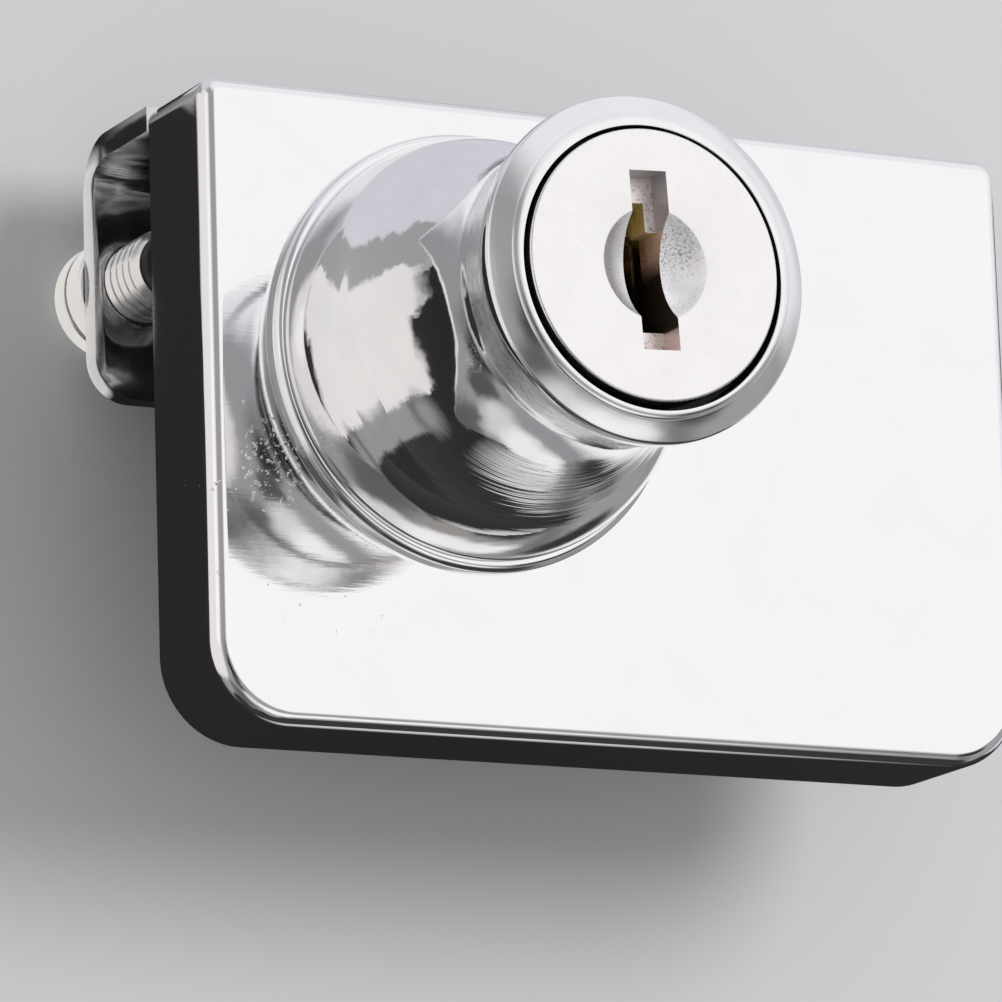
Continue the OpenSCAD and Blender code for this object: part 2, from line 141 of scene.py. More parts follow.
# turned solid from a profile of radius and height; a ripple changes the radius by angle and height
def lathe(name, profile, centre, steps, closed=False, ripple=None):
    points, faces, rings = [], [], []
    for radius, height in profile:
        if radius < 1e-6 and not closed:
            rings.append([len(points)])
            points.append((centre[0], centre[1], height))
            continue
        rings.append(list(range(len(points), len(points) + steps)))
        for k in range(steps):
            a = 2 * math.pi * k / steps
            r = radius if ripple is None else radius + ripple(a, radius, height)
            points.append((centre[0] + r * math.cos(a), centre[1] + r * math.sin(a), height))
    pairs = list(zip(rings, rings[1:]))
    if closed:
        pairs.append((rings[-1], rings[0]))
    for low, high in pairs:
        for k in range(steps):
            n = (k + 1) % steps
            if len(low) == 1 and len(high) == 1:
                break
            if len(low) == 1:
                faces.append((low[0], high[n], high[k]))
            elif len(high) == 1:
                faces.append((low[k], low[n], high[0]))
            else:
                faces.append((low[k], low[n], high[n], high[k]))
    return pieceFrom(name, points, faces)


# rectangle outline with its own radius at the lower and at the upper corners
def plateOutline(x0, x1, y0, y1, lowR, highR, steps):
    return (arc((x1 - lowR, y0 + lowR), lowR, -90, 0, steps)
            + arc((x1 - highR, y1 - highR), highR, 0, 90, steps)
            + arc((x0 + highR, y1 - highR), highR, 90, 180, steps)
            + arc((x0 + lowR, y0 + lowR), lowR, 180, 270, steps))


# stacks outlines of equal count into a closed solid
def stacked(name, layers):
    points, faces = [], []
    count = len(layers[0][0])
    for outline, z in layers:
        points += [(x, y, z) for x, y in outline]
    for i in range(len(layers) - 1):
        for k in range(count):
            n = (k + 1) % count
            faces.append((i * count + k, i * count + n, (i + 1) * count + n, (i + 1) * count + k))
    faces.append(tuple(range(count))[::-1])
    faces.append(tuple(range((len(layers) - 1) * count, len(layers) * count)))
    return pieceFrom(name, points, faces)


# a point's distance from the knob's axis and its height over the plate
def fromAxis(point):
    return math.hypot(point.x / mm - knobX, point.y / mm - knobY), point.z / mm - plateFront


def seat(piece, body, node, material, angle):
    smoothFaces(piece.data, angle)
    piece.data.materials.clear()
    piece.data.materials.append(material)
    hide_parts(node)
    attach(piece, body)


# a CAD piece's shape with its facets joined and its edges broken
def softenedCopy(node, name, width):
    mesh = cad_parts[node].data.copy()
    mesh.name = name
    tidyMesh(mesh, 1e-6)
    work = bmesh.new()
    work.from_mesh(mesh)
    bmesh.ops.dissolve_limit(work, angle_limit=math.radians(1), verts=work.verts, edges=work.edges)
    work.to_mesh(mesh)
    work.free()
    piece = addPiece(name, mesh)
    breakEdges(piece, width, 40)
    return piece


# small tools for node trees

unstretched = (1, 1, 1)


# gives each listed input of a node a value, a link, or several links
def feed(tree, node, inputs):
    for key, value in inputs.items():
        for item in value if isinstance(value, list) else [value]:
            if isinstance(item, bpy.types.NodeSocket):
                tree.links.new(item, node.inputs[key])
            else:
                node.inputs[key].default_value = item


def addNode(tree, kind, inputs=None, **settings):
    node = tree.nodes.new(kind)
    for name, value in settings.items():
        setattr(node, name, value)
    feed(tree, node, inputs or {})
    return node


def place(tree, scale=unstretched):
    coord = addNode(tree, "ShaderNodeTexCoord").outputs["Object"]
    return addNode(tree, "ShaderNodeMapping", {"Vector": coord, "Scale": scale}).outputs["Vector"]


def cloud(tree, vector, scale, detail=3, rough=0.55, warp=0):
    noise = {"Vector": vector, "Scale": scale, "Detail": detail, "Roughness": rough, "Distortion": warp}
    return addNode(tree, "ShaderNodeTexNoise", noise).outputs["Fac"]


def spread(tree, value, low, high, fromLow=0.3, fromHigh=0.7, **settings):
    ends = {"Value": value, "From Min": fromLow, "From Max": fromHigh, "To Min": low, "To Max": high}
    return addNode(tree, "ShaderNodeMapRange", ends, **settings).outputs["Result"]


def tint(tree, value, stops):
    ramp = addNode(tree, "ShaderNodeValToRGB", {"Fac": value})
    while len(ramp.color_ramp.elements) < len(stops):
        ramp.color_ramp.elements.new(0.5)
    for element, (at, colour) in zip(ramp.color_ramp.elements, stops):
        element.position = at
        element.color = (*colour, 1)
    return ramp.outputs["Color"]


def blended(tree, below, above, factor):
    below, above = [(*c, 1) if isinstance(c, tuple) else c for c in (below, above)]
    layers = {"A": below, "B": above, "Factor": factor}
    return addNode(tree, "ShaderNodeMix", layers, data_type="RGBA").outputs["Result"]


def calc(tree, operation, a, b=0.0):
    return addNode(tree, "ShaderNodeMath", {0: a, 1: b}, operation=operation).outputs["Value"]


def times(tree, a, b):
    return calc(tree, "MULTIPLY", a, b)


def plus(tree, a, b):
    return calc(tree, "ADD", a, b)


def vectorCalc(tree, operation, *values):
    node = addNode(tree, "ShaderNodeVectorMath", dict(enumerate(values)), operation=operation)
    return node.outputs["Value" if operation in ("LENGTH", "DOT_PRODUCT") else "Vector"]


def axes(tree, vector):
    return addNode(tree, "ShaderNodeSeparateXYZ", {"Vector": vector}).outputs


def relief(tree, height, distance, strength=1.0, under=None):
    bump = {"Height": height, "Distance": distance * mm, "Strength": strength}
    if under is not None:
        bump["Normal"] = under
    return addNode(tree, "ShaderNodeBump", bump).outputs["Normal"]


# soft spot around a point of the part, 1 in its core and 0 beyond the reach
def spot(tree, point, reach, stretch=unstretched, core=0.35):
    coord = addNode(tree, "ShaderNodeTexCoord").outputs["Object"]
    away = vectorCalc(tree, "SUBTRACT", coord, Vector(point) * mm)
    length = vectorCalc(tree, "LENGTH", vectorCalc(tree, "MULTIPLY", away, stretch))
    return spread(tree, length, 1, 0, reach * mm * core, reach * mm)


def newFinish(name):
    finish = bpy.data.materials.new(name)
    finish.use_nodes = True
    return finish, finish.node_tree


def dress(finish, colour, rough, normal, metallic=1):
    tree = finish.node_tree
    looks = {"Base Color": colour, "Roughness": rough, "Normal": normal, "Metallic": metallic}
    feed(tree, tree.nodes["Principled BSDF"], looks)
    return finish


# finish of one grain: noise for its colours and roughness, then the stretch, noise and depth of its skin
def makePlain(name, grain, stops, rough, stretch, skin, depth, metallic=1):
    finish, tree = newFinish(name)
    shade = cloud(tree, place(tree), *grain)
    bumps = cloud(tree, place(tree, stretch), *skin)
    colour = tint(tree, shade, stops)
    return dress(finish, colour, spread(tree, shade, *rough), relief(tree, bumps, *depth), metallic)


# bright plating on the flat case: nearly a mirror, with faint polishing lines and a few pits
def makeCaseChrome():
    finish, tree = newFinish("caseChrome")
    plain = place(tree)
    smudge = cloud(tree, plain, 220, 4, 0.6, 0.4)
    colour = tint(tree, smudge, [(0.3, (0.905, 0.9, 0.91)), (0.7, (0.935, 0.925, 0.93))])
    polish = cloud(tree, place(tree, (420, 7000, 420)), 1, 3, 0.6)
    pitted = spot(tree, (-18.4, -11.6, plateFront), 2.4, (1.5, 1, 1))
    scattered = spot(tree, (-16.5, -13.6, plateFront), 7)
    dense = spread(tree, cloud(tree, plain, 4200, 2, 0.6), 0, 1, 0.6, 0.66)
    sparse = spread(tree, cloud(tree, plain, 2600, 1, 0.5), 0, 1, 0.74, 0.78)
    pits = plus(tree, times(tree, dense, pitted), times(tree, sparse, scattered))
    rough = plus(tree, spread(tree, smudge, 0.03, 0.055), times(tree, pits, 0.12))
    wave = relief(tree, cloud(tree, plain, 150, 1), 0.008, 0.3)
    lines = relief(tree, polish, 0.0012, 1.0, wave)
    return dress(finish, colour, rough, relief(tree, pits, 0.03, 1.0, lines))


# the same plating on the cast knob: an uneven skin, and turned rings where the neck meets the dome
def makeKnobChrome():
    finish, tree = newFinish("knobChrome")
    plain = place(tree)
    smudge = cloud(tree, plain, 330, 4, 0.6, 0.5)
    colour = tint(tree, smudge, [(0.3, (0.86, 0.86, 0.875)), (0.7, (0.93, 0.925, 0.93))])
    rings = cloud(tree, place(tree, (40, 40, 4300)), 1, 2, 0.6)
    ringBand = spot(tree, (knobX + 1.5, knobY - 6.5, plateFront + 6.2), 6.5, (0.8, 0.8, 2.2))
    broad = relief(tree, cloud(tree, plain, 300, 1, 0.5, 0.6), 0.05, 0.5)
    fine = relief(tree, cloud(tree, place(tree, (1, 1, 0.35)), 2600, 3, 0.6), 0.0022, 1.0, broad)
    skin = relief(tree, times(tree, rings, ringBand), 0.04, 1.0, fine)
    return dress(finish, colour, spread(tree, smudge, 0.025, 0.07), skin)


# plug face: sand-blasted and plated, with a fine grain
def makePlugSatin():
    finish, tree = newFinish("plugSatin")
    plain = place(tree)
    grain = cloud(tree, place(tree, (1, 0.45, 1)), 11000, 3, 0.7)
    patch = cloud(tree, plain, 500, 3, 0.6)
    shade = plus(tree, spread(tree, patch, 0.25, 0.6), spread(tree, grain, -0.3, 0.4))
    colour = tint(tree, shade, [(0.0, (0.87, 0.85, 0.86)), (0.9, (0.98, 0.965, 0.97))])
    soft = relief(tree, cloud(tree, plain, 2600, 2), 0.012, 0.35)
    return dress(finish, colour, spread(tree, grain, 0.2, 0.34), relief(tree, grain, 0.012, 0.6, soft))


# dimple of the plug: coarser blasting that glitters at its right, with painted shade that darkens its left
def makeDimpleBlast():
    finish, tree = newFinish("dimpleBlast")
    plain = place(tree)
    grain = cloud(tree, plain, 7500, 3, 0.7)
    glitter = spot(tree, (knobX + 1.5, knobY + 1.1, plugFace - 0.8), 2.0)
    deep = times(tree, grain, plus(tree, glitter, 0.25))
    # painted glitter: inside the glitter spot the colour keeps darker specks, outside it is lifted brighter
    speck = plus(tree, grain, spread(tree, glitter, 0.16, 0, 0, 1))
    stops = [(0.36, (0.36, 0.35, 0.35)), (0.46, (0.86, 0.85, 0.86)), (0.6, (0.97, 0.96, 0.97))]
    # painted shade: the left of the dimple is darkened towards grey
    paintedShadeLeft = spread(tree, axes(tree, plain)["X"], 0.8, 0, (knobX - 1.9) * mm, (knobX - 0.5) * mm)
    leftShaded = blended(tree, tint(tree, speck, stops), (0.3, 0.3, 0.3), paintedShadeLeft)
    return dress(finish, leftShaded, spread(tree, grain, 0.2, 0.38), relief(tree, deep, 0.05), 0.5)


# walls of the key slot: bare brass with painted shade that darkens it with depth and on its lower side, and
# the paler walls of its step
def makeSlotBrass():
    finish, tree = newFinish("slotBrass")
    plain = place(tree)
    at = axes(tree, plain)
    # painted shade: the colour darkens with depth in the slot, varied by film noise
    depth = spread(tree, at["Z"], 0, 1, (plugFace - 5.2) * mm, (plugFace - 1.6) * mm)
    film = cloud(tree, plain, 1900, 3, 0.6, 0.4)
    level = plus(tree, depth, spread(tree, film, -0.2, 0.2))
    stops = [(0.1, (0.02, 0.015, 0.006)), (0.5, (0.26, 0.2, 0.06)), (0.95, (0.72, 0.6, 0.24))]
    olive = tint(tree, level, stops)
    stops = [(0.1, (0.02, 0.012, 0.008)), (0.5, (0.4, 0.24, 0.15)), (0.95, (0.95, 0.66, 0.5))]
    rosy = tint(tree, level, stops)
    upper = spread(tree, at["Y"], 0, 1, (knobY + 1.7) * mm, (knobY + 1.86) * mm)
    lower = spread(tree, at["Y"], 1, 0, (knobY - 2.86) * mm, (knobY - 2.74) * mm)
    # painted shade: towards the lower side the walls are painted nearly black, lit towards the top
    lit = spread(tree, at["Y"], 0.04, 1, (knobY - 0.1) * mm, (knobY + 0.8) * mm)
    shallow = spread(tree, at["Z"], 0, 1, (plugFace - 1.42) * mm, (plugFace - 1.38) * mm)
    shown = blended(tree, (0.012, 0.009, 0.006), blended(tree, rosy, olive, upper), lit)
    shown = blended(tree, shown, (0.5, 0.455, 0.465), times(tree, upper, shallow))
    shown = blended(tree, shown, (0.85, 0.7, 0.65), times(tree, lower, shallow))
    # painted highlight: a bright orange line along the ridge at the corner of the slot
    paintedRidgeHighlight = spot(tree, (knobX + 0.36, knobY + 1.86, plugFace - 2.1), 1.0, (7, 7, 1))
    shown = blended(tree, shown, (1.0, 0.68, 0.42), paintedRidgeHighlight)
    streak = cloud(tree, place(tree, (9000, 9000, 500)), 1, 2)
    return dress(finish, shown, spread(tree, streak, 0.24, 0.4), relief(tree, streak, 0.006, 0.6), 0.3)


# stamped brass of the wafers, with drawn streaks and an olive film, and painted shade that darkens them deep
# in the plug
def makeWaferBrass():
    finish, tree = newFinish("waferBrass")
    plain = place(tree)
    # painted shade: the colour darkens with depth in the plug, varied by film noise
    depth = spread(tree, axes(tree, plain)["Z"], 0, 1, (plugFace - 6.2) * mm, (plugFace - 2.9) * mm)
    film = times(tree, depth, spread(tree, cloud(tree, plain, 1600, 4, 0.6, 0.3), 0.55, 1.15))
    stops = [(0.05, (0.03, 0.022, 0.008)), (0.5, (0.3, 0.22, 0.06)), (0.95, (0.72, 0.56, 0.2))]
    streak = cloud(tree, place(tree, (14000, 900, 14000)), 1, 2)
    colour = tint(tree, film, stops)
    return dress(finish, colour, spread(tree, streak, 0.2, 0.42), relief(tree, streak, 0.006, 0.6))


# bright plated sheet of the bracket, with rolling lines along its length
def makeSheetPlating():
    finish, tree = newFinish("sheetPlating")
    haze = cloud(tree, place(tree), 300, 4, 0.6, 0.3)
    colour = tint(tree, haze, [(0.3, (0.64, 0.64, 0.65)), (0.7, (0.76, 0.755, 0.76))])
    rolled = cloud(tree, place(tree, (160, 6500, 6500)), 1, 3)
    rough = plus(tree, spread(tree, haze, 0.06, 0.14), spread(tree, rolled, 0, 0.07))
    return dress(finish, colour, rough, relief(tree, rolled, 0.003, 0.5))


# plated screws and small steel pieces
def makeSteel(name, low, high, rough, scale):
    stops = [(0.3, low), (0.7, high)]
    return makePlain(name, (scale, 4, 0.65, 0.3), stops, rough, unstretched, (scale * 3, 3), (0.008, 0.5))


caseChrome = makeCaseChrome()
knobChrome = makeKnobChrome()
plugSatin = makePlugSatin()
dimpleBlast = makeDimpleBlast()
slotBrass = makeSlotBrass()
waferBrass = makeWaferBrass()
sheetPlating = makeSheetPlating()
screwZinc = makeSteel("screwZinc", (0.8, 0.795, 0.78), (0.92, 0.91, 0.89), (0.2, 0.34), 900)
boltZinc = makeSteel("boltZinc", (0.5, 0.51, 0.53), (0.7, 0.71, 0.73), (0.26, 0.42), 700)
springSteel = makeSteel("springSteel", (0.42, 0.43, 0.45), (0.62, 0.63, 0.65), (0.18, 0.32), 2500)

# flange bevel: the plating is duller, with faint turning marks
flangeChrome = makePlain(
    "flangeChrome", (420, 4, 0.6), [(0.3, (0.88, 0.87, 0.88)), (0.7, (0.94, 0.93, 0.935))],
    (0.12, 0.2), (90, 90, 7000), (1, 2, 0.5), (0.004, 0.5))

# band under the flange: left as cast before plating
castBand = makePlain(
    "castBand", (1500, 5, 0.65, 0.6), [(0.35, (0.78, 0.77, 0.78)), (0.65, (0.93, 0.92, 0.93))],
    (0.07, 0.2), unstretched, (1500, 5, 0.65, 0.6), (0.05, 0.6))

# floor of the key slot's step: rough cast, a little rosy
stepCast = makePlain(
    "stepCast", (6000, 3, 0.7),
    [(0.36, (0.5, 0.44, 0.42)), (0.46, (0.95, 0.86, 0.83)), (0.62, (1.0, 0.95, 0.93))],
    (0.24, 0.44), unstretched, (6000, 3, 0.7), (0.02, 0.8), 0.3)

# painted shade: a near-black matte finish on the plug's sides and inside the knob, round the narrow gap
gapShade = makePlain(
    "gapShade", (1400, 3, 0.6), [(0.35, (0.008, 0.006, 0.006)), (0.7, (0.035, 0.028, 0.026))],
    (0.35, 0.6), unstretched, (5000, 2), (0.01, 0.5), 0)

# black rubber of the pad and the screw tips
softRubber = makePlain(
    "softRubber", (900, 5, 0.65), [(0.3, (0.02, 0.02, 0.022)), (0.75, (0.055, 0.054, 0.056))],
    (0.55, 0.8), unstretched, (5200, 3), (0.03, 0.5), 0)
print("finishes made")


# small countersunk screws of the knob and the cover
screwSizes = {
    "head": 1.5, "shank": 0.8, "headHeight": 0.8, "play": 0.05, "lap": 0.001, "recess": (1.7, 0.3, 0.9),
    "fromAxis": 8.6, "coverLength": 4.1, "housingLength": 3.6,
}
screwBore = screwSizes["shank"] + screwSizes["play"]
housingSpots = [(knobX, knobY + side * screwSizes["fromAxis"]) for side in (-1, 1)]


# hole for such a screw, with the seat of its head at the given height
def screwHole(point, seatHeight, low, high):
    s = screwSizes
    wide = s["head"] + s["play"]
    cone = rod(point, wide, seatHeight - s["lap"], seatHeight + s["headHeight"], 32, screwBore)
    return [rod(point, screwBore, low, high, 32), cone]


# die-cast case
caseSizes = {
    "left": -21.5, "right": 21.5, "low": -23.55, "top": 6.85, "wall": 1.3,
    "lowCorner": 4.0, "topCorner": 1.0, "leastLow": 0.2, "leastTop": 0.12, "cornerSteps": 20,
    "frontEdge": 0.8, "edgeSteps": 14, "edgeFlat": 0.03, "backEdge": 0.08, "knobHole": 6.85,
    "slotSide": 6.65, "slotTop": 5.1, "slotPast": 0.5, "webHalf": 20.25, "webLow": 5.45, "webTop": 1.8,
    "boss": 2.0, "bossX": 17.85, "bossY": (2.75, -19.9), "bossLow": 1.75, "holeLow": 1.0, "holeTop": 4.9,
    "ribIn": 6.65, "ribWidth": 1.0, "ribLow": -12.5, "ribTop": 5.7, "ribBack": 1.9, "root": 0.2,
}
bossSpots = [(side * caseSizes["bossX"], y) for side in (-1, 1) for y in caseSizes["bossY"]]
caseInner = plateFront - caseSizes["wall"]


def caseOutline(inset):
    s = caseSizes
    lowCorner = max(s["lowCorner"] - inset, s["leastLow"])
    topCorner = max(s["topCorner"] - inset, s["leastTop"])
    return plateOutline(s["left"] + inset, s["right"] - inset, s["low"] + inset, s["top"] - inset,
                        lowCorner, topCorner, s["cornerSteps"])


def buildCase():
    s = caseSizes
    edge = s["frontEdge"]
    layers = [(caseOutline(s["backEdge"]), caseBack), (caseOutline(0), caseBack + s["backEdge"])]
    layers.append((caseOutline(0), plateFront - edge - s["edgeFlat"]))
    for i in range(s["edgeSteps"] + 1):
        a = math.radians(90 * i / s["edgeSteps"])
        layers.append((caseOutline(edge * (1 - math.cos(a))), plateFront - edge + edge * math.sin(a)))
    layers.append((caseOutline(edge + s["edgeFlat"]), plateFront))
    case = stacked("caseShell", layers)
    cavity = stacked("cutter", [(caseOutline(s["wall"]), z) for z in (caseBack - past, caseInner)])
    slot = block((knobX - s["slotSide"], s["top"] - s["wall"] - s["slotPast"], caseBack),
                 (knobX + s["slotSide"], s["top"] + s["slotPast"], s["slotTop"]))
    web = block((-s["webHalf"], s["webLow"], caseBack - past), (s["webHalf"], s["top"] + past, s["webTop"]))
    hole = rod((knobX, knobY), s["knobHole"], caseInner - past, plateFront + past, 64)
    carve(case, [cavity, slot, web, hole])
    rooted = caseInner + s["root"]
    added = [rod(point, s["boss"], s["bossLow"], rooted) for point in bossSpots]
    for side in (-1, 1):
        x = knobX + side * (s["ribIn"] + s["ribWidth"] / 2)
        added.append(block((x - s["ribWidth"] / 2, s["ribLow"], s["ribBack"]),
                           (x + s["ribWidth"] / 2, s["ribTop"], rooted)))
    carve(case, added, "UNION")
    holes = [rod(point, screwBore, s["holeLow"], s["holeTop"], 32) for point in bossSpots]
    for point in housingSpots:
        holes += screwHole(point, caseInner, caseInner - past, plateFront + past)
    carve(case, holes)
    seat(case, "case", "case", caseChrome, 25)
    return case


caseShell = buildCase()
print("case made:", len(caseShell.data.polygons), "faces")


# bell-shaped knob
knobSizes = {
    "rim": 10.5, "rimHeight": 0.7, "rimRound": 0.42, "domeCentre": 3.55, "shoulder": 6.5,
    "waist": 6.9, "waistHeight": 11.0, "neckHeight": 13.9, "fillet": 0.12, "filletIn": 0.55, "filletUp": 0.22,
    "flange": 8.0, "flangeHeight": 16.94, "flangeRound": 0.25,
    "bandIn": 0.5, "bandLow": 14.05, "bandRise": 2.4, "bandSteps": 6,
    "bevel": 7.875, "bevelWidth": 0.855, "bevelLow": 17.03, "bevelRise": 0.47, "bevelBulge": 0.16,
    "bevelSteps": 10,
    "lip": [(7.0, 17.505), (6.98, 17.545), (6.9, 17.6), (6.8, 17.635), (6.7, 17.66), (6.6, 17.68),
            (6.53, 17.68), (6.5, 17.65)],
    "recess": 6.5, "recessHeight": 16.1, "bore": 4.85, "spigot": 6.8, "spigotDepth": 1.3, "steps": 224,
    "grooveWidth": 5.8, "grooveReach": 5.55, "grooveTop": 15.1, "screwLow": -0.5, "screwTop": 2.6,
}

# where the finishes change, as radius and heights over the plate, and the recess that is cast off centre
knobZones = {
    "gap": (6.52, 17.6), "bevel": (6.4, 16.88), "band": (6.9, 13.9, 16.3),
    "recessShift": (0.0, -0.1, 0.0), "shiftFrom": 6.3, "shiftTo": 7, "shiftFade": 0.4, "shiftLow": 16.09,
}


# the dome and the neck are two arcs that meet without a kink
def knobProfile():
    s = knobSizes
    rise = s["waistHeight"] - s["rimHeight"]
    inset = s["waist"] - s["domeCentre"]
    neckRadius = (inset ** 2 + rise ** 2 - s["shoulder"] ** 2) / (2 * (s["shoulder"] - inset))
    neckCentre = (s["waist"] + neckRadius, s["waistHeight"])
    domeCentre = (s["domeCentre"], s["rimHeight"])
    meet = math.degrees(math.atan2(neckCentre[1] - domeCentre[1], neckCentre[0] - domeCentre[0]))
    neckEnd = 180 - math.degrees(math.asin((s["neckHeight"] - s["waistHeight"]) / neckRadius))
    outer = [(s["spigot"], -s["spigotDepth"]), (s["spigot"], 0), (s["rim"], 0)]
    outer += arc((s["rim"] - s["rimRound"], s["rimHeight"] - s["rimRound"]), s["rimRound"], 0, 90, 12)
    outer += arc(domeCentre, s["shoulder"], 0, meet, 48)
    outer += arc(neckCentre, neckRadius, 180 + meet, neckEnd, 56)[1:]
    outer += arc((s["flange"] - s["filletIn"], s["neckHeight"] + s["filletUp"]), s["fillet"], 220, 290, 3)
    steps = s["bandSteps"]
    for i in range(1, steps + 1):
        outward = s["flange"] - s["bandIn"] + s["bandIn"] * i / steps
        outer.append((outward, s["bandLow"] + s["bandRise"] * i / steps))
    curl = s["flangeRound"]
    outer += arc((s["flange"] - curl, s["flangeHeight"] - curl / 2), curl, 0, 60, 8)
    for t in (i / s["bevelSteps"] for i in range(1, s["bevelSteps"] + 1)):
        swell = t + s["bevelBulge"] * t * (1 - t)
        outer.append((s["bevel"] - s["bevelWidth"] * t, s["bevelLow"] + s["bevelRise"] * swell))
    outer += s["lip"] + [(s["recess"], s["recessHeight"]), (s["bore"], s["recessHeight"])]
    outer.append((s["bore"], -s["spigotDepth"]))
    return [(radius, height + plateFront) for radius, height in outer]


# finish of each face of the knob: bright dome, duller bevel, cast band, and painted shade in the gap and
# inside
def knobFinish(face):
    zones = knobZones
    radius, height = fromAxis(face.center)
    if radius < zones["gap"][0] and height < zones["gap"][1]:
        return 3
    if radius > zones["bevel"][0] and height > zones["bevel"][1]:
        return 1
    if radius > zones["band"][0] and zones["band"][1] < height < zones["band"][2]:
        return 2
    return 0


def buildKnob():
    s = knobSizes
    knob = lathe("knobBell", knobProfile(), (knobX, knobY), s["steps"], closed=True)
    low = plateFront - s["spigotDepth"] - past
    half = s["grooveWidth"] / 2
    cuts = []
    for angle in (0, 90, 180, 270):
        groove = block((-half, 0, low), (half, s["grooveReach"], plateFront + s["grooveTop"]))
        cuts.append(moved(groove, knobShift, angle))
    for point in housingSpots:
        cuts.append(rod(point, screwBore, plateFront + s["screwLow"], plateFront + s["screwTop"], 32))
    carve(knob, cuts)
    seat(knob, "case", "knob_housing", knobChrome, 22)
    for finish in (flangeChrome, castBand, gapShade):
        knob.data.materials.append(finish)
    for face in knob.data.polygons:
        face.material_index = knobFinish(face)
    zones = knobZones
    for point in knob.data.vertices:
        radius, height = fromAxis(point.co)
        if zones["shiftFrom"] < radius < zones["shiftTo"] and height > zones["shiftLow"]:
            share = min(1, (zones["shiftTo"] - radius) / zones["shiftFade"])
            point.co += Vector(zones["recessShift"]) * mm * share
    return knob


knobBell = buildKnob()
print("knob made:", len(knobBell.data.polygons), "faces")


# lock plug with its dimple and key slot
plugSizes = {
    "body": 4.8, "face": 6.25, "faceThick": 1.6, "bevel": 0.12, "bevelFlat": 0.04, "low": 5.05,
    "dimple": 2.56, "dimpleDepth": 1.4, "bowlSteps": 20, "dimpleEdge": [(0.02, -0.015), (0.07, 0)],
    "keyHalf": 0.93, "keyTop": 4.3, "keyLow": -3.9, "keyLength": 14.5, "keyLean": 3, "stepDepth": 1.4,
    "deepLow": -2.8, "deepLeft": 3.15, "deepRight": 1.8, "split": 0.42, "burr": 0.09,
    "tail": 2.2, "tailLow": 4.0, "tailTop": 5.3, "screw": 1.25, "screwLow": 3.0, "screwTop": 8.75,
    "waferHalf": 2.75, "waferReach": 5.8, "waferThick": 0.9, "waferFirst": 3.4, "waferPitch": 2.0,
    "wafers": 5, "pocketX": 2.0, "pocket": 0.65, "pocketLow": -3.35, "pocketTop": -0.6,
}

# height of each wafer, and the side that its spring is at
waferPlaces = [(plugFace - plugSizes["waferFirst"] - i * plugSizes["waferPitch"], 1 if i % 2 == 0 else -1)
               for i in range(plugSizes["wafers"])]


# cutters of the key slot: a wide shallow step, and a deep part that is taller at its left
def keyCutters():
    s = plugSizes
    half, left, right, split, burr = s["keyHalf"], s["deepLeft"], s["deepRight"], s["split"], s["burr"]
    outline = [(-half, s["deepLow"]), (half, s["deepLow"]), (half, right), (split + burr, right),
               (split, right + burr), (split, left), (-half, left)]
    cutters = [
        block((-half, s["keyLow"], plugFace - s["stepDepth"]), (half, s["keyTop"], plugFace + past)),
        stacked("cutter", [(outline, plugFace - s["keyLength"]), (outline, plugFace + past)]),
    ]
    return [moved(cutter, knobShift, s["keyLean"]) for cutter in cutters]


# finish of each face of the plug: satin face, blasted dimple, sides in painted shade, and the key slot with
# its step
def plugFinish(face, ballCentre, ballRadius):
    s = plugSizes
    near = 0.02
    skin = 0.05
    slotReach = s["keyTop"] + 0.3
    z = face.center.z / mm
    radius = fromAxis(face.center)[0]
    if radius < s["dimple"] and abs((face.center / mm - ballCentre).length - ballRadius) < near:
        return 1
    if radius > s["face"] - near or z < plugFace - s["faceThick"] and radius > s["keyTop"]:
        return 3
    if z < plugFace - s["stepDepth"] - near:
        return 2
    if z < plugFace - skin and radius < slotReach:
        return 4 if abs(face.normal.z) > 0.5 else 2
    return 0


def buildPlug():
    s = plugSizes
    ball = (s["dimple"] ** 2 + s["dimpleDepth"] ** 2) / (2 * s["dimpleDepth"])
    ballHeight = plugFace + ball - s["dimpleDepth"]
    wide = math.degrees(math.asin(s["dimple"] / ball))
    profile = []
    for i in range(s["bowlSteps"]):
        a = math.radians(wide * i / s["bowlSteps"])
        profile.append((ball * math.sin(a), ballHeight - ball * math.cos(a)))
    profile += [(s["dimple"] + out, plugFace + up) for out, up in s["dimpleEdge"]]
    profile += [(s["face"] - s["bevel"] - s["bevelFlat"], plugFace)]
    profile += arc((s["face"] - s["bevel"], plugFace - s["bevel"]), s["bevel"], 90, 0, 4)
    under = plugFace - s["faceThick"]
    profile += [(s["face"], under), (s["body"], under), (s["body"], s["low"]), (0, s["low"])]
    plug = lathe("plugCore", profile, (knobX, knobY), 144)
    tail = block((knobX - s["tail"], knobY - s["tail"], s["tailLow"]),
                 (knobX + s["tail"], knobY + s["tail"], s["tailTop"]))
    carve(plug, [tail], "UNION")
    cuts = keyCutters()
    for z, side in waferPlaces:
        cuts.append(block((knobX - s["waferHalf"], knobY - s["waferReach"], z - s["waferThick"] / 2),
                          (knobX + s["waferHalf"], knobY + s["waferReach"], z + s["waferThick"] / 2)))
        pocket = rod((0, 0), s["pocket"], s["pocketLow"], s["pocketTop"], 24)
        cuts.append(moved(pocket, Vector((knobX + side * s["pocketX"], knobY, z)) * mm, -90, "X"))
    cuts.append(rod((knobX, knobY), s["screw"], s["screwLow"], s["screwTop"], 32))
    carve(plug, cuts)
    seat(plug, "plug", "plug", plugSatin, 28)
    for finish in (dimpleBlast, slotBrass, gapShade, stepCast):
        plug.data.materials.append(finish)
    for face in plug.data.polygons:
        face.material_index = plugFinish(face, Vector((knobX, knobY, ballHeight)), ball)
    return plug


plugCore = buildPlug()
print("plug made:", len(plugCore.data.polygons), "faces")


